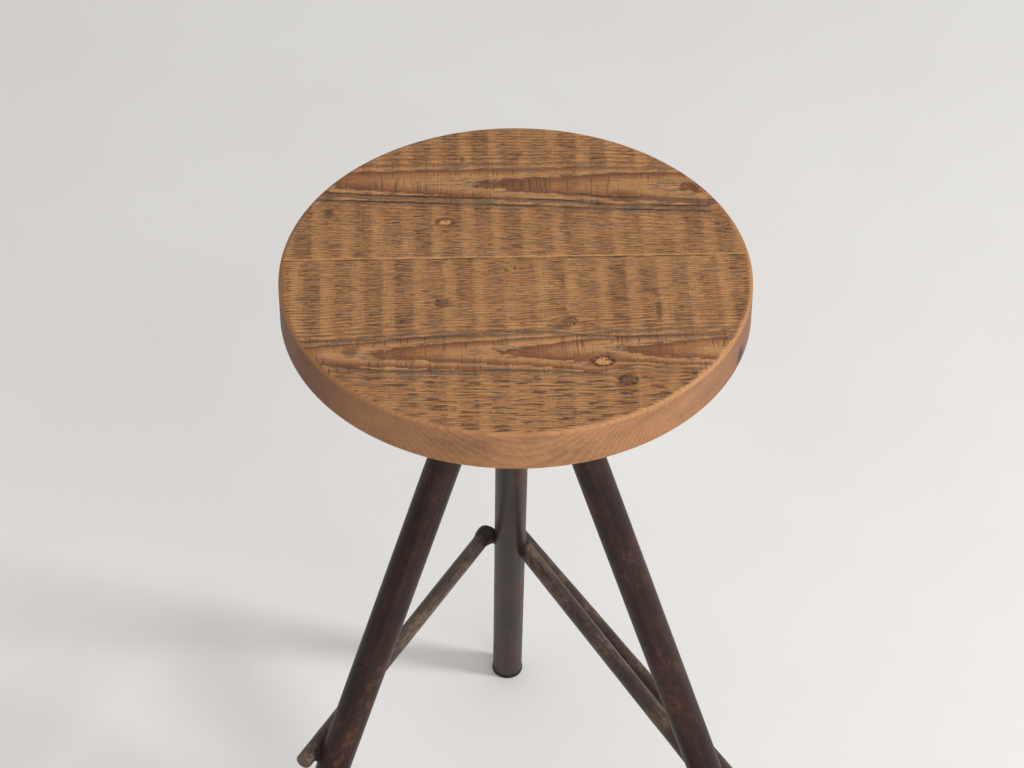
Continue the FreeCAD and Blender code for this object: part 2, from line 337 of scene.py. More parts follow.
# the knots, marks and cracks of one plank, in a material or in the tree that shapes the mesh
def plankFields(tree, position, plank, grain, knot):
    x, y, z = splitXyz(tree, position)
    patches = namedNoise(tree, (x, y, z), grainPatch, plank["seed"])
    shift, core, light, ring, halo = 0.0, 0.0, 0.0, 0.0, 0.0
    for number, (kx, ky, length, width, push, coreDark, ringDark) in enumerate(plank["knots"]):
        fields = placeGroup(tree, knot, {"Position": position, "X": kx, "Y": ky, "Half Length": length,
                                         "Half Width": width, "Push": push, "Seed": number * 3.1 + plank["seed"]})
        shift = fields["Shift"] + shift
        if coreDark > 0:
            core = fields["Core"] * coreDark + core
        else:
            light = fields["Core"] * -coreDark + light
        ring = fields["Ring"] * ringDark + ring
        halo = fields["Halo"] * abs(ringDark) + halo
    marks = 0.0
    blot = patches("blot", 0.0, 3.0, 0.65) - 0.5
    for mx, my, length, width, dark in plank["marks"]:
        dx, dy = (x - mx) * (1 / length), (y - my) * (1 / width)
        far = (dx * dx + dy * dy).calc("SQRT") + blot * 1.9
        marks = (1.0 - far.step(0.35, 1.15)) * dark + marks
    crack, frayed = 0.0, 0.0
    wander = (patches("wander", 2.0, 3.0, 0.6) - 0.5) * 5.0
    for number, points in enumerate(plank["cracks"]):
        curve = addNode(tree, "ShaderNodeFloatCurve", {"Value": (x + 180.0) * (1 / 360)})
        low, high = min(p[1] for p in points) - 4, max(p[1] for p in points) + 4
        line = curve.mapping.curves[0]
        line.points[0].location = ((points[0][0] + 180) / 360, (points[0][1] - low) / (high - low))
        line.points[1].location = ((points[-1][0] + 180) / 360, (points[-1][1] - low) / (high - low))
        for px, py in points[1:-1]:
            line.points.new((px + 180) / 360, (py - low) / (high - low))
        curve.mapping.update()
        middle = Wire(tree, curve.outputs[0]) * (high - low) + low
        below = middle - y - wander * (0.4 + 0.15 * number)
        gap = below.calc("ABSOLUTE")
        gape = patches("open", number).step(0.26, 0.5)
        inside = x.step(points[0][0] - 3, points[0][0] + 6) * (1.0 - x.step(points[-1][0] - 6, points[-1][0] + 3))
        slit = (1.0 - gap.step(0.4, 1.5)) * gape.calc("MULTIPLY_ADD", 0.7, 0.3) * inside
        crack = slit.calc("MAXIMUM", crack)
        fray = below.step(-1.0, 0.2) * (1.0 - below.step(1.8, 6.5)) * (blot + 0.5).step(0.4, 0.54) * inside
        frayed = fray.calc("MAXIMUM", frayed)
    holes = 0.0
    for hx, hy, radius in boreHoles:
        dx, dy = x - hx, y - hy
        holes = (1.0 - (dx * dx + dy * dy).calc("SQRT").step(radius * 0.7, radius * 1.25)).calc("MAXIMUM", holes)
    values = {"Position": position, "Shift": shift, "Centre": plank["centre"], "Tilt": plank["tilt"],
              "Pith Depth": plank["pithDepth"], "Slope": plank["slope"], "Start": plank["start"],
              "Ring Width": seatSize["ringWidth"], "Saw Pitch": seatSize["sawPitch"], "Saw Shift": plank["sawShift"],
              "Top": seatTop / mm, "Seed": plank["seed"]}
    fields = placeGroup(tree, grain, values)
    fields.update({"Core": core, "Light": light, "Ring": ring, "Halo": halo, "Marks": marks,
                   "Crack": crack * plank["crackDark"], "Frayed": frayed,
                   "Holes": holes, "X": x, "Y": y, "Z": z})
    return fields


seatLow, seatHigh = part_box("seat_board_front")
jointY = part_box("seat_board_rear")[0].y
seatTop, seatFoot = seatHigh.z, seatLow.z
seatRadius = -seatLow.y
print("seat radius", round(seatRadius, 4), "top", round(seatTop, 4), "joint", round(jointY, 4))


# joins doubled points and turns the faces outwards
def cleanMesh(mesh):
    shape = bmesh.new()
    shape.from_mesh(mesh)
    bmesh.ops.remove_doubles(shape, verts=shape.verts, dist=1e-6)
    bmesh.ops.recalc_face_normals(shape, faces=shape.faces)
    shape.to_mesh(mesh)
    shape.free()


# a round plank end by end: a fine patch for the sawn face, the rounded rim, the side and a plain underside
def plankMesh(name, isFront):
    size = seatSize
    cell, round1, round2 = size["cellSize"], size["rimRound"], size["footRound"]
    radius, top, foot = seatRadius / mm, seatTop / mm, seatFoot / mm
    jointAt = jointY / mm
    side = -1 if isFront else 1                     # which way the plank lies from the glue line
    joint = jointAt * side                          # measured in that direction
    groove = size["jointGroove"]
    flatRadius = radius - round1

    def arc(rad, back, share):                      # share runs 0 to 1 round the arc, from chord end to chord end
        start = math.asin(min(1, max(-1, (joint + back) / rad)))
        angle = math.pi - start - share * (math.pi - 2 * start)
        return rad * np.cos(angle), rad * np.sin(angle)

    reach = radius - joint
    across = int(2 * radius / cell)
    deep = int(reach * 0.84 / cell)
    total = across + 2 * deep

    def patch(rad, back, nAcross, nDeep):
        u = np.linspace(0, 1, nAcross + 1)[None, :]
        v = np.linspace(0, 1, nDeep + 1)[:, None]
        part = nDeep / (nAcross + 2 * nDeep)
        ax, ay = arc(rad, back, part + u * (1 - 2 * part))           # far side of the patch, v = 1
        lx, ly = arc(rad, back, v * part)                            # left side
        rx, ry = arc(rad, back, 1 - v * part)                        # right side
        half = math.sqrt(rad * rad - (joint + back) ** 2)
        cx, cy = -half + 2 * half * u, np.full_like(u, joint + back)  # chord, v = 0
        out = []
        for c, a, l, r in ((cx, ax, lx, rx), (cy, ay, ly, ry)):
            corners = ((1 - u) * (1 - v) * c[0, 0] + u * (1 - v) * c[0, -1]
                       + (1 - u) * v * a[0, 0] + u * v * a[0, -1])
            out.append((1 - v) * c + v * a + (1 - u) * l + u * r - corners)
        return out

    verts, faces = [], []

    def addVerts(x, y, z):
        start = sum(len(part) for part in verts)
        x, y = np.ravel(x), np.ravel(y) * side
        verts.append(np.column_stack([x, y, np.broadcast_to(np.ravel(z), x.shape)]))
        return start + np.arange(len(x))

    def quads(grid):                                # joins neighbours in a grid of vertex numbers
        a, b, c, d = grid[:-1, :-1], grid[:-1, 1:], grid[1:, 1:], grid[1:, :-1]
        faces.extend(np.stack([a, b, c, d], -1).reshape(-1, 4).tolist())

    px, py = patch(flatRadius, groove, across, deep)
    topGrid = addVerts(px, py, top).reshape(px.shape)
    quads(topGrid)
    rimLoop = np.concatenate([topGrid[:, 0], topGrid[-1, 1:-1], topGrid[::-1, -1]])
    share = np.linspace(0, 1, total + 1)
    rows = [rimLoop]
    profile = [(flatRadius + round1 * math.sin(a), top - round1 * (1 - math.cos(a)))
               for a in np.linspace(0, math.pi / 2, 8)[1:]]
    profile += [(radius, z) for z in np.linspace(top - round1, foot + round2, 14)[1:]]
    profile += [(radius - round2 * (1 - math.cos(a)), foot + round2 * (1 - math.sin(a)))
                for a in np.linspace(0, math.pi / 2, 4)[1:]]
    for rad, z in profile:
        ax, ay = arc(rad, 0.02, share)
        rows.append(addVerts(ax, ay, z))
    quads(np.array(rows))
    few = 10
    coarseAcross, coarseDeep = across // few, deep // few
    bx, by = patch(radius - round2 - 1.0, 0.02, coarseAcross, coarseDeep)
    bottom = addVerts(bx, by, foot).reshape(bx.shape)
    quads(bottom[::-1])
    inner = np.concatenate([bottom[:, 0], bottom[-1, 1:-1], bottom[::-1, -1]])

    def stitch(fine, coarse):                       # joins a fine row to a coarse one with wider faces
        steps = np.round(np.linspace(0, len(fine) - 1, len(coarse))).astype(int)
        for i in range(len(coarse) - 1):
            run = fine[steps[i]:steps[i + 1] + 1].tolist()
            faces.append(run + [int(coarse[i + 1]), int(coarse[i])])

    stitch(rows[-1], inner)
    half = math.sqrt(flatRadius ** 2 - (joint + 0.02) ** 2)
    lip = addVerts(np.linspace(-half, half, across + 1), np.full(across + 1, joint + 0.02), top - groove)
    quads(np.array([lip, topGrid[0]]))
    stitch(lip[::-1], bottom[0][::-1])
    for end, lipEnd, inEnd in ((0, lip[0], bottom[0, 0]), (-1, lip[-1], bottom[0, -1])):
        loop = [int(topGrid[0, end])] + [int(r[end]) for r in rows[1:]] + [int(inEnd), int(lipEnd)]
        faces.append(loop if end == 0 else loop[::-1])
    mesh = bpy.data.meshes.new(name)
    mesh.from_pydata((np.concatenate(verts) * mm).tolist(), [], faces)
    cleanMesh(mesh)
    return mesh


# presses the sawn relief into a plank's top face; nothing rises above the face
def reliefTree(name, plank, grain, knot):
    tree, wires, sink = newGroup(name, "GeometryNodeTree", [
        ("Plank", "shape"), ("Relief", "float", 1.0), ("Crack Depth", "float", 1.3), ("Rim Width", "float", 3.0),
        ("Finish", "material")], [("Plank", "shape")])
    place = Wire(tree, addNode(tree, "GeometryNodeInputPosition").outputs[0])
    spot = vecCalc(tree, "SCALE", place, scale=1 / mm)
    fields = plankFields(tree, spot, plank, grain, knot)
    x, y, z = fields["X"], fields["Y"], fields["Z"]
    out = (x * x + y * y).calc("SQRT")
    inside = 1.0 - out.step(wires["Rim Width"] * -1.0 + (seatRadius / mm - 3.4), seatRadius / mm - 3.4)
    onTop = z.step(seatTop / mm - 0.12, seatTop / mm - 0.04)
    groove = (1.0 - fields["Late"]) * 0.22 * (1.0 - fields["Flat"] * 0.5) + fields["Torn"] * 0.22
    groove = groove + fields["Dashes"].step(0.52, 0.68) * 0.3 * (1.0 - fields["Flat"] * 0.7)
    groove = groove + fields["Band"] * 0.16 + fields["Ticks"] * 0.14 + fields["Ring"] * 0.35 + fields["Marks"] * 0.25
    groove = groove * wires["Relief"] + fields["Crack"] * wires["Crack Depth"] + fields["Holes"] * 1.6
    drop = joinXyz(tree, 0.0, 0.0, groove * inside * onTop * -mm)
    moved = addNode(tree, "GeometryNodeSetPosition", {"Geometry": wires["Plank"], "Offset": drop})
    sendShape(tree, sink, "Plank", moved.outputs[0], wires["Finish"])
    return tree


# runs a tree on a mesh, or on nothing, and keeps what comes out as a plain mesh object
def bakeNodes(name, tree, values, mesh=None, sharpAngle=None):
    piece = bpy.data.objects.new(name, mesh or bpy.data.meshes.new(name))
    bpy.context.scene.collection.objects.link(piece)
    modifier = piece.modifiers.new("shape", "NODES")
    modifier.node_group = tree
    for socket in tree.interface.items_tree:
        if socket.item_type == "SOCKET" and socket.in_out == "INPUT" and socket.name in values:
            modifier[socket.identifier] = values[socket.name]
    bpy.context.view_layer.update()
    result = bpy.data.meshes.new_from_object(piece.evaluated_get(bpy.context.evaluated_depsgraph_get()))
    piece.modifiers.remove(modifier)
    piece.data = result
    result.name = name
    cleanMesh(result)
    result.shade_smooth()
    if sharpAngle:
        result.set_sharp_from_angle(angle=math.radians(sharpAngle))
    return piece


def keepPiece(piece, slot, *nodes):
    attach(piece, "root")
    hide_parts(*nodes)
    print("made", piece.name, len(piece.data.polygons), "faces")


def newMaterial(name):
    material = bpy.data.materials.new(name)
    material.use_nodes = True
    tree = material.node_tree
    tree.nodes.clear()
    shader = addNode(tree, "ShaderNodeBsdfPrincipled")
    addNode(tree, "ShaderNodeOutputMaterial", {"Surface": shader.outputs[0]})
    return material, tree, shader


# object coordinates in millimetres
def objectSpot(tree):
    where = addNode(tree, "ShaderNodeTexCoord").outputs["Object"]
    return vecCalc(tree, "SCALE", where, scale=1 / mm)


def bumpTo(tree, shader, height, strength, distance):
    bump = addNode(tree, "ShaderNodeBump", {"Height": height, "Strength": strength, "Distance": distance * mm})
    plug(tree, shader.inputs["Normal"], bump.outputs[0])


woodLook = {
    "pale": (176, 127, 81), "gold": (198, 145, 90), "tan": (156, 109, 69), "orange": (150, 99, 58),
    "red": (122, 74, 47), "line": (86, 58, 40), "dash": (80, 56, 39), "grey": (106, 88, 71), "crack": (44, 29, 22),
    "hole": (34, 23, 18), "knotPale": (196, 142, 86), "knotDark": (84, 57, 40), "rim": (160, 112, 72),
    # smudge also colours the painted shade on the left end of the board's side
    "side": (143, 99, 69), "endGrain": (124, 83, 58), "smudge": (104, 75, 57), "stain": (40, 40, 50),
    "stainPlace": (162.0, -66.0, 695.0),           # where a dark stain sits on the board's edge, in mm
    "roughness": 0.62, "gloss": 0.32, "dashAmount": 0.85, "dashCut": 0.598,
    "bandAmount": 0.46, "bandTint": (0.6, 0.57, 0.55, 1.0),
    "rimFrom": 2.9, "rimTo": 0.8,                  # mm in from the edge where the sanded rim begins and is full
    "sideFrom": 1.8, "sideTo": 4.2,                # mm below the top where the board's side begins and is full
}


def woodMaterial(name, plank, grain, knot):
    look = woodLook
    material, tree, shader = newMaterial(name)
    spot = objectSpot(tree)
    f = plankFields(tree, spot, plank, grain, knot)
    x, y, z = f["X"], f["Y"], f["Z"]
    patches = namedNoise(tree, (x, y, z), grainPatch, plank["seed"])
    depth, thick = seatTop / mm - z, (seatTop - seatFoot) / mm
    out = (x * x + y * y).calc("SQRT")
    rim = out.step(seatRadius / mm - look["rimFrom"], seatRadius / mm - look["rimTo"])
    side = depth.step(look["sideFrom"], look["sideTo"])
    onTop = 1.0 - rim.calc("MAXIMUM", side)
    endGrain = (x / (out + 1.0)).calc("ABSOLUTE").step(0.62, 0.9) * side
    fine = 1.0 - f["Flat"]

    worn = patches("worn", 16.0).step(0.3, 0.68)
    late = f["Late"] * (worn * fine * -0.55 + 1.0)
    colour = mixColour(tree, late.step(0.05, 0.6), paint(*look["pale"]), paint(*look["tan"]))

    def coat(amount, tone):                         # lays one more tone over the colour so far
        nonlocal colour
        colour = mixColour(tree, amount, colour, paint(*look[tone]))

    coat(late.step(0.35, 0.85) * (f["Flat"] * 0.45 + 0.45), "orange")
    coat(late.step(0.72, 1.0) * (f["Flat"] * 0.45 + 0.35), "red")
    coat(f["Fibre"].step(0.5, 0.72) * fine * onTop * 0.5, "line")
    coat((1.0 - f["Fibre"].step(0.3, 0.46)) * fine * onTop * 0.45, "gold")
    lineBreak = patches("lineBreak", 12.0).step(0.34, 0.62)
    coat(f["Edge"] * lineBreak * (onTop * 0.6 + 0.2), "line")
    dashCut = look["dashCut"] - f["Band"] * 0.06 - fine * 0.02
    dashes = (f["Dashes"] - dashCut).step(-0.015, 0.04) * (fine * 0.75 + 0.25) * onTop
    coat(dashes * look["dashAmount"], "dash")
    colour = mixColour(tree, f["Band"] * onTop * look["bandAmount"], colour, look["bandTint"], "MULTIPLY")
    coat(f["Stripe"] * onTop * (fine * 0.17 + 0.04) * (y.step(-115.0, -75.0) * 0.6 + 0.4), "gold")
    coat(f["Torn"] * onTop * (f["Flat"] * 0.45 + 0.35), "grey")
    greyNoise = patches("grey", 20.0, 3.0, 0.62)
    border = f["Flat"] * fine * 4.0
    greyed = (greyNoise + border * 0.07).step(0.555, 0.63) * (border * 0.25 + 0.55)
    coat(greyed.calc("MAXIMUM", f["Frayed"] * 0.75) * onTop, "grey")
    coat(f["Ticks"] * onTop * (f["Flat"] * 0.62 + 0.14), "dash")
    coat(f["Halo"] * 0.35 * onTop, "orange")
    coat(f["Light"] * 1.8, "knotPale")
    coat(f["Core"] * onTop, "knotDark")
    coat(f["Ring"] * onTop * 0.85, "crack")
    coat(f["Marks"] * onTop, "knotDark")
    coat(f["Crack"] * onTop, "crack")
    coat(f["Holes"] * onTop, "hole")
    seam = y - jointY / mm
    coat((1.0 - seam.calc("ABSOLUTE").step(0.3, 1.1)) * lineBreak * onTop * 0.85, "crack")     # the glue line
    coat(seam.step(0.5, 1.1) * (1.0 - seam.step(1.6, 2.8)) * onTop * 0.65, "gold")
    rimCloud = patches("rimCloud", 33.0, 3.0)
    coat(rim * (1.0 - side) * rimCloud.step(0.3, 0.7).calc("MULTIPLY_ADD", 0.4, 0.5), "rim")
    sideTone = mixColour(tree, endGrain, paint(*look["side"]), paint(*look["endGrain"]))
    under = depth.step(thick - 3.0, thick - 0.5)        # the planed underside keeps more of its grain
    colour = mixColour(tree, side * 0.58 - under * 0.33, colour, sideTone)
    smudge = patches("smudge", 36.0, 4.0, 0.6)
    coat(smudge.step(0.44, 0.74) * side * (0.5 - under * 0.35), "smudge")
    rasp = noise(tree, x + z * 0.8, y, z, grainPatch["rasp"], plank["seed"] + 39.0, 3.0, 0.6)
    coat(rasp.step(0.5, 0.7) * side * (endGrain * 0.3 + 0.34), "knotDark")
    coat((1.0 - rasp.step(0.3, 0.45)) * side * 0.3, "gold")
    coat(x.step(90.0, 172.0) * 0.3 * side, "smudge")
    # painted shade: the left end of the board's side is darkened with the smudge colour, as if turned away from the
    # key lamp
    coat((-x).step(90.0, 172.0) * 0.5 * side, "smudge")
    sx, sy, sz = look["stainPlace"]
    dx, dy, dz = (x - sx) * 0.1, (y - sy) * 0.08, (z - sz) * 0.075
    stain = 1.0 - ((dx * dx + dy * dy + dz * dz).calc("SQRT") + smudge * 0.9).step(0.7, 1.25)
    coat(stain * side * 0.85, "stain")
    pores = patches("pore", 30.0, 3.0).step(0.5, 0.66)
    coat(pores * endGrain * 0.35, "knotDark")
    colour = mixColour(tree, 0.5, colour, greyOf(tree, f["Fibre"] * 0.5 + f["Cloud"] * 0.5), "SOFT_LIGHT")
    plug(tree, shader.inputs["Base Color"], colour)
    plug(tree, shader.inputs["Roughness"], f["Fibre"] * 0.2 + dashes * 0.15 + (look["roughness"] - 0.12) + rim * 0.04)
    shader.inputs["Specular IOR Level"].default_value = look["gloss"]
    height = (f["Late"] * 0.2 - dashes * 0.35 - f["Ticks"] * 0.2 + f["Fibre"] * 0.3) * onTop - pores * endGrain * 0.15
    height = height + rasp * side * 0.12
    bumpTo(tree, shader, height, 0.7, 0.35)
    return material


grainShader, knotShader = grainGroup("ShaderNodeTree"), knotGroup("ShaderNodeTree")
grainShape, knotShape = grainGroup("GeometryNodeTree"), knotGroup("GeometryNodeTree")
for plankName, nodeName in (("front", "seat_board_front"), ("rear", "seat_board_rear")):
    plank = planks[plankName]
    finish = woodMaterial("seat_wood_" + plankName, plank, grainShader, knotShader)
    tree = reliefTree("sawn relief " + plankName, plank, grainShape, knotShape)
    piece = bakeNodes("seat_plank_" + plankName, tree, {"Relief": 1.0, "Crack Depth": 1.3, "Rim Width": 3.0,
                      "Finish": finish}, plankMesh("plank " + plankName, plankName == "front"), 50)
    keepPiece(piece, "seat_wood", nodeName)


# steel: one patina group serves every metal part; its patches are in mm along the bar and round it
patinaPatch = {
    "large": (1.6, 0.8, 0.8), "middle": (9.0, 5.0, 5.0), "small": (1.5, 1.2, 1.2), "grit": (0.45, 0.4, 0.4),
    "zone": (60.0, 22.0, 22.0), "lines": (42.0, 0.42, 0.42), "hairlines": (9.0, 0.2, 0.2),
    "streak": (120.0, 3.2, 3.2), "pits": (2.2, 1.5, 1.5),
}


def patinaGroup():
    tree, wires, sink = newGroup("patina", "ShaderNodeTree", [
        ("Position", "vector"), ("Seed", "float"), ("Patch Size", "float", 26.0), ("Rust", "float", 0.4),
        ("Scratches", "float", 0.3), ("Speckle", "float", 0.3), ("Shine", "float", 0.2), ("Edge", "float", 0.0),
        ("Dark", "colour"), ("Brown", "colour"), ("Rust Colour", "colour"), ("Bare", "colour")],
        [("Colour", "colour"), ("Roughness", "float"), ("Metallic", "float"), ("Height", "float")])
    x, y, z = splitXyz(tree, wires["Position"])
    seed, size = wires["Seed"], wires["Patch Size"]
    patches = namedNoise(tree, (x, y, z), patinaPatch, seed)
    large = noise(tree, x / size, y / size, z / size, patinaPatch["large"], seed, 4.0, 0.55)
    middle = patches("middle", 3.0, 5.0, 0.62)
    small = patches("small", 6.0, 4.0, 0.6)
    grit = patches("grit", 9.0)
    brown = (large * 0.65 + middle * 0.35).step(0.38, 0.62)
    rust = ((large * 0.45 + middle * 0.4 + small * 0.15) + wires["Rust"] * 0.22).step(0.585, 0.68)
    rust = rust * wires["Rust"].step(0.0, 0.3)
    zone = patches("zone", 14.0, 1.0)
    lines = patches("lines", 17.0, 2.0, 0.5)
    fine = patches("hairlines", 19.0, 1.0)
    scratch = lines.step(0.66, 0.72) * zone.step(0.42, 0.62) * wires["Scratches"]
    scratch = (scratch + fine.step(0.7, 0.78) * wires["Scratches"] * 0.4).calc("MINIMUM", 1.0)
    fleck = (small * 0.6 + grit * 0.4).step(0.57, 0.66) * zone.step(0.35, 0.7).calc("MULTIPLY_ADD", 0.8, 0.2)
    fleck = fleck * wires["Speckle"]
    worn = (wires["Edge"] * (middle * 1.2 + 0.2)).calc("MINIMUM", 1.0)
    streak = patches("streak", 23.0, 3.0, 0.55)
    colour = mixColour(tree, brown * 0.65 + streak.step(0.42, 0.62) * 0.35, wires["Dark"], wires["Brown"])
    colour = mixColour(tree, rust * 0.75, colour, wires["Rust Colour"])
    colour = mixColour(tree, fleck * 0.55, colour, wires["Rust Colour"])
    colour = mixColour(tree, (scratch * 0.6).calc("MAXIMUM", worn * 0.25), colour, wires["Bare"])
    pits = patches("pits", 27.0, 4.0, 0.7)
    shade = (pits * 0.6 + middle * 0.2 + streak * 0.2).calc("MULTIPLY_ADD", 2.3, -0.15)
    colour = mixColour(tree, 1.0, colour, greyOf(tree, shade), "MULTIPLY")
    roughness = middle * 0.22 + rust * 0.25 + fleck * 0.1 - scratch * 0.12 + small * 0.1 + 0.28
    metallic = (1.0 - rust) * wires["Shine"] * (1.0 - fleck * 0.6) + scratch * 0.2
    height = small * 0.4 + pits * 0.5 + grit * 0.2 + rust * 0.5 - scratch * 0.6 + middle * 0.6
    sendOut(tree, sink, Colour=colour, Roughness=roughness, Metallic=metallic, Height=height)
    return tree


steelLooks = {
    "leg_steel": {"Seed": 1.0, "Patch Size": 34.0, "Rust": 0.2, "Scratches": 0.35, "Speckle": 0.85, "Shine": 0.15,
                  "Dark": (31, 18, 15), "Brown": (54, 33, 26), "Rust Colour": (92, 60, 44), "Bare": (96, 80, 72),
                  "bump": 0.2, "gloss": 0.25},
    "rod_steel": {"Seed": 8.0, "Patch Size": 22.0, "Rust": 0.34, "Scratches": 0.35, "Speckle": 0.7, "Shine": 0.2,
                  "Dark": (62, 50, 44), "Brown": (90, 73, 63), "Rust Colour": (112, 90, 74), "Bare": (118, 98, 84),
                  "bump": 0.35, "gloss": 0.4},
    "weld_metal": {"Seed": 15.0, "Patch Size": 7.0, "Rust": 0.4, "Scratches": 0.1, "Speckle": 0.4, "Shine": 0.2,
                   "Dark": (27, 21, 19), "Brown": (46, 35, 30), "Rust Colour": (74, 50, 38), "Bare": (104, 90, 80),
                   "bump": 0.5, "gloss": 0.35},
    "plate_steel": {"Seed": 22.0, "Patch Size": 34.0, "Rust": 0.4, "Scratches": 0.5, "Speckle": 0.4, "Shine": 0.3,
                    "Dark": (48, 42, 40), "Brown": (68, 56, 50), "Rust Colour": (104, 74, 54),
                    "Bare": (136, 126, 116), "bump": 0.35, "gloss": 0.5},
    "screw_steel": {"Seed": 29.0, "Patch Size": 5.0, "Rust": 0.35, "Scratches": 0.6, "Speckle": 0.3, "Shine": 0.6,
                    "Dark": (84, 80, 76), "Brown": (112, 102, 92), "Rust Colour": (120, 84, 58),
                    "Bare": (176, 170, 162), "bump": 0.2, "gloss": 0.5},
}


# along a bar the pattern follows its own length: the bar carries its coordinates as an attribute
def steelMaterial(name, patina, ownSpace):
    look = steelLooks[name]
    material, tree, shader = newMaterial(name)
    if ownSpace:
        spot = Wire(tree, addNode(tree, "ShaderNodeAttribute", attribute_name="barSpace").outputs["Vector"])
    else:
        spot = objectSpot(tree)
    edge = Wire(tree, addNode(tree, "ShaderNodeAttribute", attribute_name="rimWear").outputs["Fac"])
    values = {"Position": spot, "Edge": edge}
    for key, value in look.items():
        if key not in ("bump", "gloss"):
            values[key] = paint(*value) if isinstance(value, tuple) else value
    fields = placeGroup(tree, patina, values)
    plug(tree, shader.inputs["Base Color"], fields["Colour"])
    plug(tree, shader.inputs["Roughness"], fields["Roughness"])
    plug(tree, shader.inputs["Metallic"], fields["Metallic"])
    shader.inputs["Specular IOR Level"].default_value = look["gloss"]
    bumpTo(tree, shader, fields["Height"], look["bump"], 0.5)
    return material


plugLook = {"base": (34, 32, 32), "dust": (92, 86, 80), "roughness": 0.62}


def plugMaterial(name):
    material, tree, shader = newMaterial(name)
    spot = objectSpot(tree)
    x, y, z = splitXyz(tree, spot)
    grain = noise(tree, x, y, z, (0.5, 0.5, 0.5), 3.0, 3.0, 0.6)
    smear = noise(tree, x, y, z, (6.0, 6.0, 1.2), 5.0, 4.0, 0.6)
    dust = smear.step(0.5, 0.75) * (1.0 - z.step(0.4, 3.0)).calc("MULTIPLY_ADD", 0.6, 0.4)
    plug(tree, shader.inputs["Base Color"], mixColour(tree, dust, paint(*plugLook["base"]), paint(*plugLook["dust"])))
    plug(tree, shader.inputs["Roughness"], grain * 0.2 + dust * 0.15 + (plugLook["roughness"] - 0.1))
    shader.inputs["Specular IOR Level"].default_value = 0.4
    bumpTo(tree, shader, grain, 0.3, 0.2)
    return material


# a hand-finished round bar from start to end; ringU and ringV are the two half-widths of its cut end
def barTree():
    tree, wires, sink = newGroup("round bar", "GeometryNodeTree", [
        ("Bar", "shape"), ("Start", "vector"), ("End", "vector"), ("Ring U", "vector"), ("Ring V", "vector"),
        ("Radius", "float", 0.0065), ("End Round", "float", 0.002), ("Rows", "int", 200), ("Around", "int", 40),
        ("Dent", "float", 0.0002), ("Dent Size", "float", 0.02), ("Seed", "float"), ("Finish", "material")],
        [("Bar", "shape")])
    rows = wires["Rows"]
    grid = addNode(tree, "GeometryNodeMeshGrid", {"Size X": 1.0, "Size Y": 1.0, "Vertices X": wires["Around"],
                                                  "Vertices Y": rows})
    gx, gy = splitXyz(tree, Wire(tree, addNode(tree, "GeometryNodeInputPosition").outputs[0]))[:2]
    row = ((gy + 0.5) * (rows - 1.0)).calc("ROUND")
    angle = (gx + 0.5) * (2 * math.pi)
    isCap = (row.calc("LESS_THAN", 0.5) + row.calc("GREATER_THAN", rows - 1.5)).calc("MINIMUM", 1.0)
    turn = ((row - 1.0) / (rows - 3.0)).calc("MAXIMUM", 0.0).calc("MINIMUM", 1.0) * math.pi
    share = turn.calc("COSINE") * -0.5 + 0.5
    run = vecCalc(tree, "SUBTRACT", wires["End"], wires["Start"])
    length = vecCalc(tree, "LENGTH", run)
    fromEnd = share.calc("MINIMUM", 1.0 - share) * length
    bite = (1.0 - fromEnd / wires["End Round"]).calc("MAXIMUM", 0.0)
    cut = (1.0 - (1.0 - bite * bite).calc("SQRT")) * (wires["End Round"] / wires["Radius"])
    across, up = angle.calc("COSINE"), angle.calc("SINE")
    along = share * length
    spot = joinXyz(tree, along / wires["Dent Size"] * 0.5 + wires["Seed"], across * 0.8, up * 0.8)
    lumpNoise = addNode(tree, "ShaderNodeTexNoise", {"Vector": spot, "Scale": 1.0, "Detail": 3.0})
    lump = Wire(tree, lumpNoise.outputs[0]) - 0.5
    dent = (lump.calc("ABSOLUTE") * wires["Dent"] * 2.0) / wires["Radius"]
    scale = (1.0 - cut - dent) * (1.0 - isCap)
    ring = vecCalc(tree, "ADD", vecCalc(tree, "SCALE", wires["Ring U"], scale=across * scale),
                   vecCalc(tree, "SCALE", wires["Ring V"], scale=up * scale))
    middle = vecCalc(tree, "ADD", wires["Start"], vecCalc(tree, "SCALE", run, scale=share))
    placed = addNode(tree, "GeometryNodeSetPosition", {"Geometry": grid.outputs[0],
                     "Position": vecCalc(tree, "ADD", middle, ring)})
    own = joinXyz(tree, along * (1 / mm) + wires["Seed"] * 37.0, across * wires["Radius"] * (1 / mm),
                  up * wires["Radius"] * (1 / mm))
    stored = addNode(tree, "GeometryNodeStoreNamedAttribute", {"Name": "barSpace"}, data_type="FLOAT_VECTOR")
    wear = (1.0 - (fromEnd / (wires["End Round"] * 1.6)).calc("MINIMUM", 1.0)).calc("MAXIMUM", isCap * 0.2)
    rimmed = addNode(tree, "GeometryNodeStoreNamedAttribute", {"Name": "rimWear"}, data_type="FLOAT")
    # both attributes are read on the flat grid, before the points move
    plug(tree, stored.inputs["Geometry"], grid.outputs[0])
    plug(tree, stored.inputs["Value"], own)
    plug(tree, rimmed.inputs["Geometry"], stored.outputs[0])
    plug(tree, rimmed.inputs["Value"], wear)
    plug(tree, placed.inputs["Geometry"], rimmed.outputs[0])
    closed = addNode(tree, "GeometryNodeMergeByDistance", {"Geometry": placed.outputs[0], "Distance": 1e-6})
    sendShape(tree, sink, "Bar", closed.outputs[0], wires["Finish"])
    return tree


# the frame's own lines, read from the CAD nodes
legTilt = {"back": 90.0, "left": 210.0, "right": 330.0}     # degrees round the stool


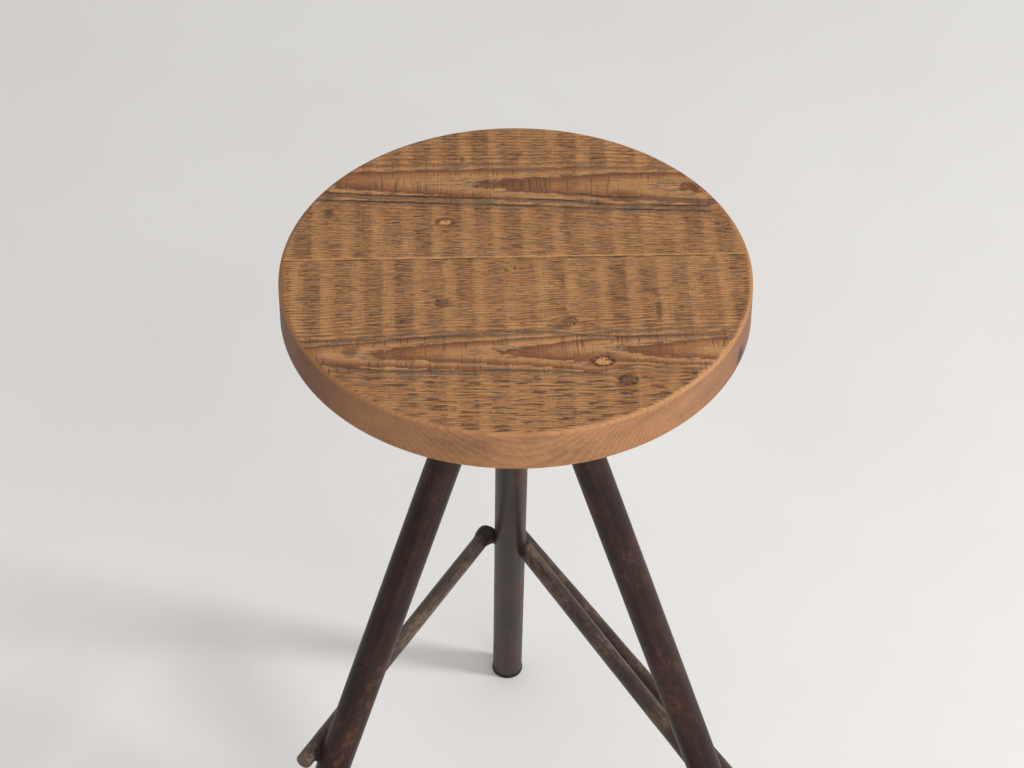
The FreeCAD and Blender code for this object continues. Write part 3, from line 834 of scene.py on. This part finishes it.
def legAxis(name):
    low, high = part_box("leg_" + name)
    angle = math.radians(legTilt[name])
    outward = Vector((math.cos(angle), math.sin(angle), 0))
    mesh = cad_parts["leg_" + name].data
    points = np.array([v.co for v in mesh.vertices])
    ends = []
    for level in (low.z, high.z):
        rim = points[np.abs(points[:, 2] - level) < 1e-5]
        reach = rim @ np.array(outward)
        ends.append(outward * float((reach.max() + reach.min()) / 2) + Vector((0, 0, level)))
        width = float(reach.max() - reach.min()) / 2
    return ends[0], ends[1], outward, width


legSize = {"rows": 260, "around": 57, "dent": 0.00022, "dentSize": 0.03, "endRound": 0.0007}
patina = patinaGroup()
finishes = {name: steelMaterial(name, patina, name in ("leg_steel", "rod_steel")) for name in steelLooks}
finishes["plug_plastic"] = plugMaterial("plug_plastic")
bar = barTree()
legLines = {}
for number, name in enumerate(("back", "left", "right")):
    foot, head, outward, width = legAxis(name)
    sideways = Vector((-outward.y, outward.x, 0))
    run = (head - foot).normalized()
    radius = width * run.z
    legLines[name] = (foot, run, radius)
    piece = bakeNodes("tube_leg_" + name, bar, {
        "Start": foot, "End": head, "Ring U": outward * width, "Ring V": sideways * radius, "Radius": radius,
        "End Round": legSize["endRound"], "Rows": legSize["rows"], "Around": legSize["around"],
        "Dent": legSize["dent"], "Dent Size": legSize["dentSize"], "Seed": 2.0 + number * 5.3,
        "Finish": finishes["leg_steel"]}, None, 45)
    keepPiece(piece, "leg_steel", "leg_" + name)


# a straight rod is read from its CAD mesh: the axis is the long way through its points
def rodAxis(node):
    points = np.array([v.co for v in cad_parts[node].data.vertices])
    middle = points.mean(0)
    spread = np.linalg.svd(points - middle, full_matrices=False)[2]
    axis = spread[0] / np.linalg.norm(spread[0])
    reach = (points - middle) @ axis
    off = (points - middle) - np.outer(reach, axis)
    radius = float(np.linalg.norm(off, axis=1).max())
    return Vector(middle + axis * reach.min()), Vector(middle + axis * reach.max()), radius


rodSize = {"rows": 190, "around": 37, "dent": 0.00035, "dentSize": 0.016, "endRound": 0.002}
rodLines = {}
for number, node in enumerate(("footrest_right", "footrest_front", "footrest_left", "brace_bar")):
    start, end, radius = rodAxis(node)
    run = (end - start).normalized()
    sideways = run.cross(Vector((0, 0, 1))).normalized()
    rodLines[node] = (start, end, run, radius)
    piece = bakeNodes("rod_" + node, bar, {
        "Start": start, "End": end, "Ring U": sideways * radius, "Ring V": run.cross(sideways) * -radius,
        "Radius": radius, "End Round": rodSize["endRound"], "Rows": rodSize["rows"], "Around": rodSize["around"],
        "Dent": rodSize["dent"], "Dent Size": rodSize["dentSize"], "Seed": 31.0 + number * 4.1,
        "Finish": finishes["rod_steel"]}, None, 45)
    keepPiece(piece, "rod_steel", node)
    print(node, [round(v, 4) for v in start], [round(v, 4) for v in end], round(radius, 5))


weldSize = {
    "size": 0.0125, "fill": 0.009, "ripple": 0.00028, "voxels": 58,
    "rippleStep": 2.1,                              # mm between the ripples
    "skin": 0.00018, "depth": 0.0016,               # how far under the two bars the weld's faces lie
    "heavy": ("weld_left_at_back", "weld_right_at_back", "weld_brace_at_back"), "heavyScale": 1.25,
    "capped": ("weld_left_at_back",), "lumpRadius": 0.0074, "lumpBack": 0.0045,
}


# a fillet weld fills the crease where two round bars meet, with ripples along it
def weldTree():
    tree, wires, sink = newGroup("fillet weld", "GeometryNodeTree", [
        ("Weld", "shape"), ("Leg Point", "vector"), ("Leg Axis", "vector"), ("Leg Radius", "float"),
        ("Rod Point", "vector"), ("Rod Axis", "vector"), ("Rod Radius", "float"), ("Middle", "vector"),
        ("Rod End", "vector"), ("Rod Out", "vector"), ("Lump Point", "vector"), ("Lump Radius", "float"),
        ("Size", "float", 0.011), ("Fill", "float", 0.006), ("Ripple", "float", 0.0003), ("Seed", "float"),
        ("Voxels", "int", 56), ("Finish", "material")], [("Weld", "shape")])
    place = Wire(tree, addNode(tree, "GeometryNodeInputPosition").outputs[0])

    def barDistance(point, axis, radius):
        away = vecCalc(tree, "SUBTRACT", place, point)
        along = vecCalc(tree, "SCALE", axis, scale=vecCalc(tree, "DOT_PRODUCT", away, axis))
        return vecCalc(tree, "LENGTH", vecCalc(tree, "SUBTRACT", away, along)) - radius

    toLeg = barDistance(wires["Leg Point"], wires["Leg Axis"], wires["Leg Radius"])
    toRod = barDistance(wires["Rod Point"], wires["Rod Axis"], wires["Rod Radius"])
    pastEnd = vecCalc(tree, "DOT_PRODUCT", vecCalc(tree, "SUBTRACT", place, wires["Rod End"]), wires["Rod Out"])
    toRod = toRod.calc("MAXIMUM", pastEnd)
    toLump = vecCalc(tree, "DISTANCE", place, wires["Lump Point"]) - wires["Lump Radius"]
    away = vecCalc(tree, "SUBTRACT", place, wires["Middle"])
    far = vecCalc(tree, "LENGTH", away) / wires["Size"]
    fade = 1.0 - far.step(0.5, 1.15)
    px, py, pz = splitXyz(tree, vecCalc(tree, "SCALE", place, scale=1 / mm))
    lump = noise(tree, px, py, pz, (4.5, 4.5, 4.5), wires["Seed"], 3.0, 0.55) - 0.5
    along = vecCalc(tree, "DOT_PRODUCT", away, wires["Rod Axis"]) * (1 / mm)
    ripple = ((along + lump * 2.5) * (2 * math.pi / weldSize["rippleStep"])).calc("SINE") * wires["Ripple"]
    fill = wires["Fill"] * fade * (lump * 0.9 + 1.0) + 1e-6
    union = toLeg.calc("SMOOTH_MIN", toRod, fill).calc("SMOOTH_MIN", toLump, wires["Fill"] * 0.6)
    nearest = toLeg.calc("MINIMUM", toRod)
    skin = union + weldSize["skin"] + ripple * fade + lump * 0.0008 * fade * -1.0
    deep = (nearest + weldSize["depth"]) * -1.0
    solid = skin.calc("MAXIMUM", deep).calc("MAXIMUM", (far - 1.2) * wires["Size"])
    reach = vecCalc(tree, "SCALE", (1.0, 1.0, 1.0), scale=wires["Size"] * 1.3)
    low, high = (vecCalc(tree, way, wires["Middle"], reach) for way in ("SUBTRACT", "ADD"))
    voxels = wires["Voxels"]
    cube = addNode(tree, "GeometryNodeVolumeCube", {
        "Density": solid * -1.0, "Background": -0.01, "Min": low, "Max": high,
        "Resolution X": voxels, "Resolution Y": voxels, "Resolution Z": voxels})
    skinMesh = addNode(tree, "GeometryNodeVolumeToMesh", {"Volume": cube.outputs[0], "Threshold": 0.0})
    sendShape(tree, sink, "Weld", skinMesh.outputs[0], wires["Finish"])
    return tree


def closest(pointA, axisA, pointB, axisB):         # the two nearest points of two lines
    gap = pointA - pointB
    mix = axisA.dot(axisB)
    base = 1 - mix * mix
    s = (mix * axisB.dot(gap) - axisA.dot(gap)) / base
    t = (axisB.dot(gap) - mix * axisA.dot(gap)) / base
    return pointA + axisA * s, pointB + axisB * t


weldJobs = {
    "weld_right_at_right": ("footrest_right", "right"), "weld_right_at_back": ("footrest_right", "back"),
    "weld_front_at_left": ("footrest_front", "left"), "weld_front_at_right": ("footrest_front", "right"),
    "weld_left_at_back": ("footrest_left", "back"), "weld_left_at_left": ("footrest_left", "left"),
    "weld_brace_at_right": ("brace_bar", "right"), "weld_brace_at_back": ("brace_bar", "back"),
}
fillet = weldTree()
for number, (node, (rod, leg)) in enumerate(weldJobs.items()):
    foot, run, legRadius = legLines[leg]
    start, end, rodRun, rodRadius = rodLines[rod]
    onLeg, onRod = closest(foot, run, start, rodRun)
    apart = (onRod - onLeg).length
    near, far = (start, end) if (start - onLeg).length < (end - onLeg).length else (end, start)
    if rod == "brace_bar":                          # butts against the leg: the seam runs round its end
        middle = near
    else:
        middle = onLeg + (onRod - onLeg) * (legRadius / apart)
    capped = node in weldSize["capped"]             # the rod stops short here, under one round lump
    lumpAt = near + (far - near).normalized() * weldSize["lumpBack"] if capped else middle + Vector((0, 0, 1))
    scale = weldSize["heavyScale"] if node in weldSize["heavy"] else 1.0
    piece = bakeNodes("bead_" + node, fillet, {
        "Leg Point": foot, "Leg Axis": run, "Leg Radius": legRadius, "Rod Point": start, "Rod Axis": rodRun,
        "Rod Radius": rodRadius, "Middle": lumpAt if capped else middle, "Rod End": near,
        "Rod Out": (near - far).normalized(),
        "Lump Point": lumpAt, "Lump Radius": weldSize["lumpRadius"], "Size": weldSize["size"] * scale,
        "Fill": weldSize["fill"] * scale,
        "Ripple": weldSize["ripple"] * scale, "Seed": 3.0 + number * 6.7, "Voxels": int(weldSize["voxels"] * scale),
        "Finish": finishes["weld_metal"]})
    keepPiece(piece, "weld_metal", node)

# the CAD parts whose shape is right already get their finishes
cadFinish = {"mounting_plate": "plate_steel", "seat_screws": "screw_steel", "weld_leg_cluster": "weld_metal",
             "foot_plug_back": "plug_plastic", "foot_plug_left": "plug_plastic", "foot_plug_right": "plug_plastic"}
for node, finish in cadFinish.items():
    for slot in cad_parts[node].material_slots:
        slot.material = finishes[finish]
    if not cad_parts[node].material_slots:
        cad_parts[node].data.materials.append(finishes[finish])
print("finishes given to", len(cadFinish), "CAD nodes")

# studio: a pale floor, a soft key from the right and a pale sky
studio = {
    "floorReach": 14.0, "floorPaint": (0.79, 0.78, 0.77), "skyPaint": (1.0, 0.985, 0.97), "skyPower": 0.55,
    "keyPlace": (3.19, -1.39, 2.65), "keyAim": (0.0, 0.05, 0.5), "keyWidth": 0.8, "keyPower": 112.0,
    "fillPlace": (1.2, -3.0, 2.6), "fillAim": (0.0, 0.0, 0.6), "fillWidth": 2.4, "fillPower": 52.0,
}


def makeFloor(setup):
    reach = setup["floorReach"]
    mesh = bpy.data.meshes.new("studio_floor")
    corners = [(-reach, -reach, 0), (reach, -reach, 0), (reach, reach, 0), (-reach, reach, 0)]
    mesh.from_pydata(corners, [], [(0, 1, 2, 3)])
    floor = bpy.data.objects.new("studio_floor", mesh)
    bpy.context.scene.collection.objects.link(floor)
    material, tree, shader = newMaterial("floor_plaster")
    x, y, z = splitXyz(tree, objectSpot(tree))
    cloud = noise(tree, x, y, z, (420.0, 420.0, 420.0), 2.0, 4.0, 0.55)
    grain = noise(tree, x, y, z, (7.0, 7.0, 7.0), 5.0, 4.0, 0.6)
    tint = setup["floorPaint"]
    plug(tree, shader.inputs["Base Color"], mixColour(tree, cloud.step(0.25, 0.8),
         (tint[0] * 0.97, tint[1] * 0.965, tint[2] * 0.955, 1), (tint[0] * 1.02, tint[1] * 1.02, tint[2] * 1.02, 1)))
    plug(tree, shader.inputs["Roughness"], grain * 0.1 + 0.85)
    shader.inputs["Specular IOR Level"].default_value = 0.08
    bumpTo(tree, shader, grain, 0.1, 0.6)
    mesh.materials.append(material)


def makeLight(name, place, aim, width, power):
    data = bpy.data.lights.new(name, "AREA")
    data.shape, data.size, data.energy = "DISK", width, power
    light = bpy.data.objects.new(name, data)
    bpy.context.scene.collection.objects.link(light)
    turn = (Vector(aim) - Vector(place)).to_track_quat("-Z", "Y").to_matrix().to_4x4()
    light.matrix_world = Matrix.Translation(place) @ turn


makeFloor(studio)
for lamp in ("key", "fill"):
    makeLight(lamp + "_lamp", *(studio[lamp + part] for part in ("Place", "Aim", "Width", "Power")))
world = bpy.data.worlds.new("studio_sky")
world.use_nodes = True
world.node_tree.nodes["Background"].inputs["Color"].default_value = studio["skyPaint"] + (1.0,)
world.node_tree.nodes["Background"].inputs["Strength"].default_value = studio["skyPower"]
bpy.context.scene.world = world
bpy.context.scene.view_settings.view_transform = "Standard"
print("studio lit")
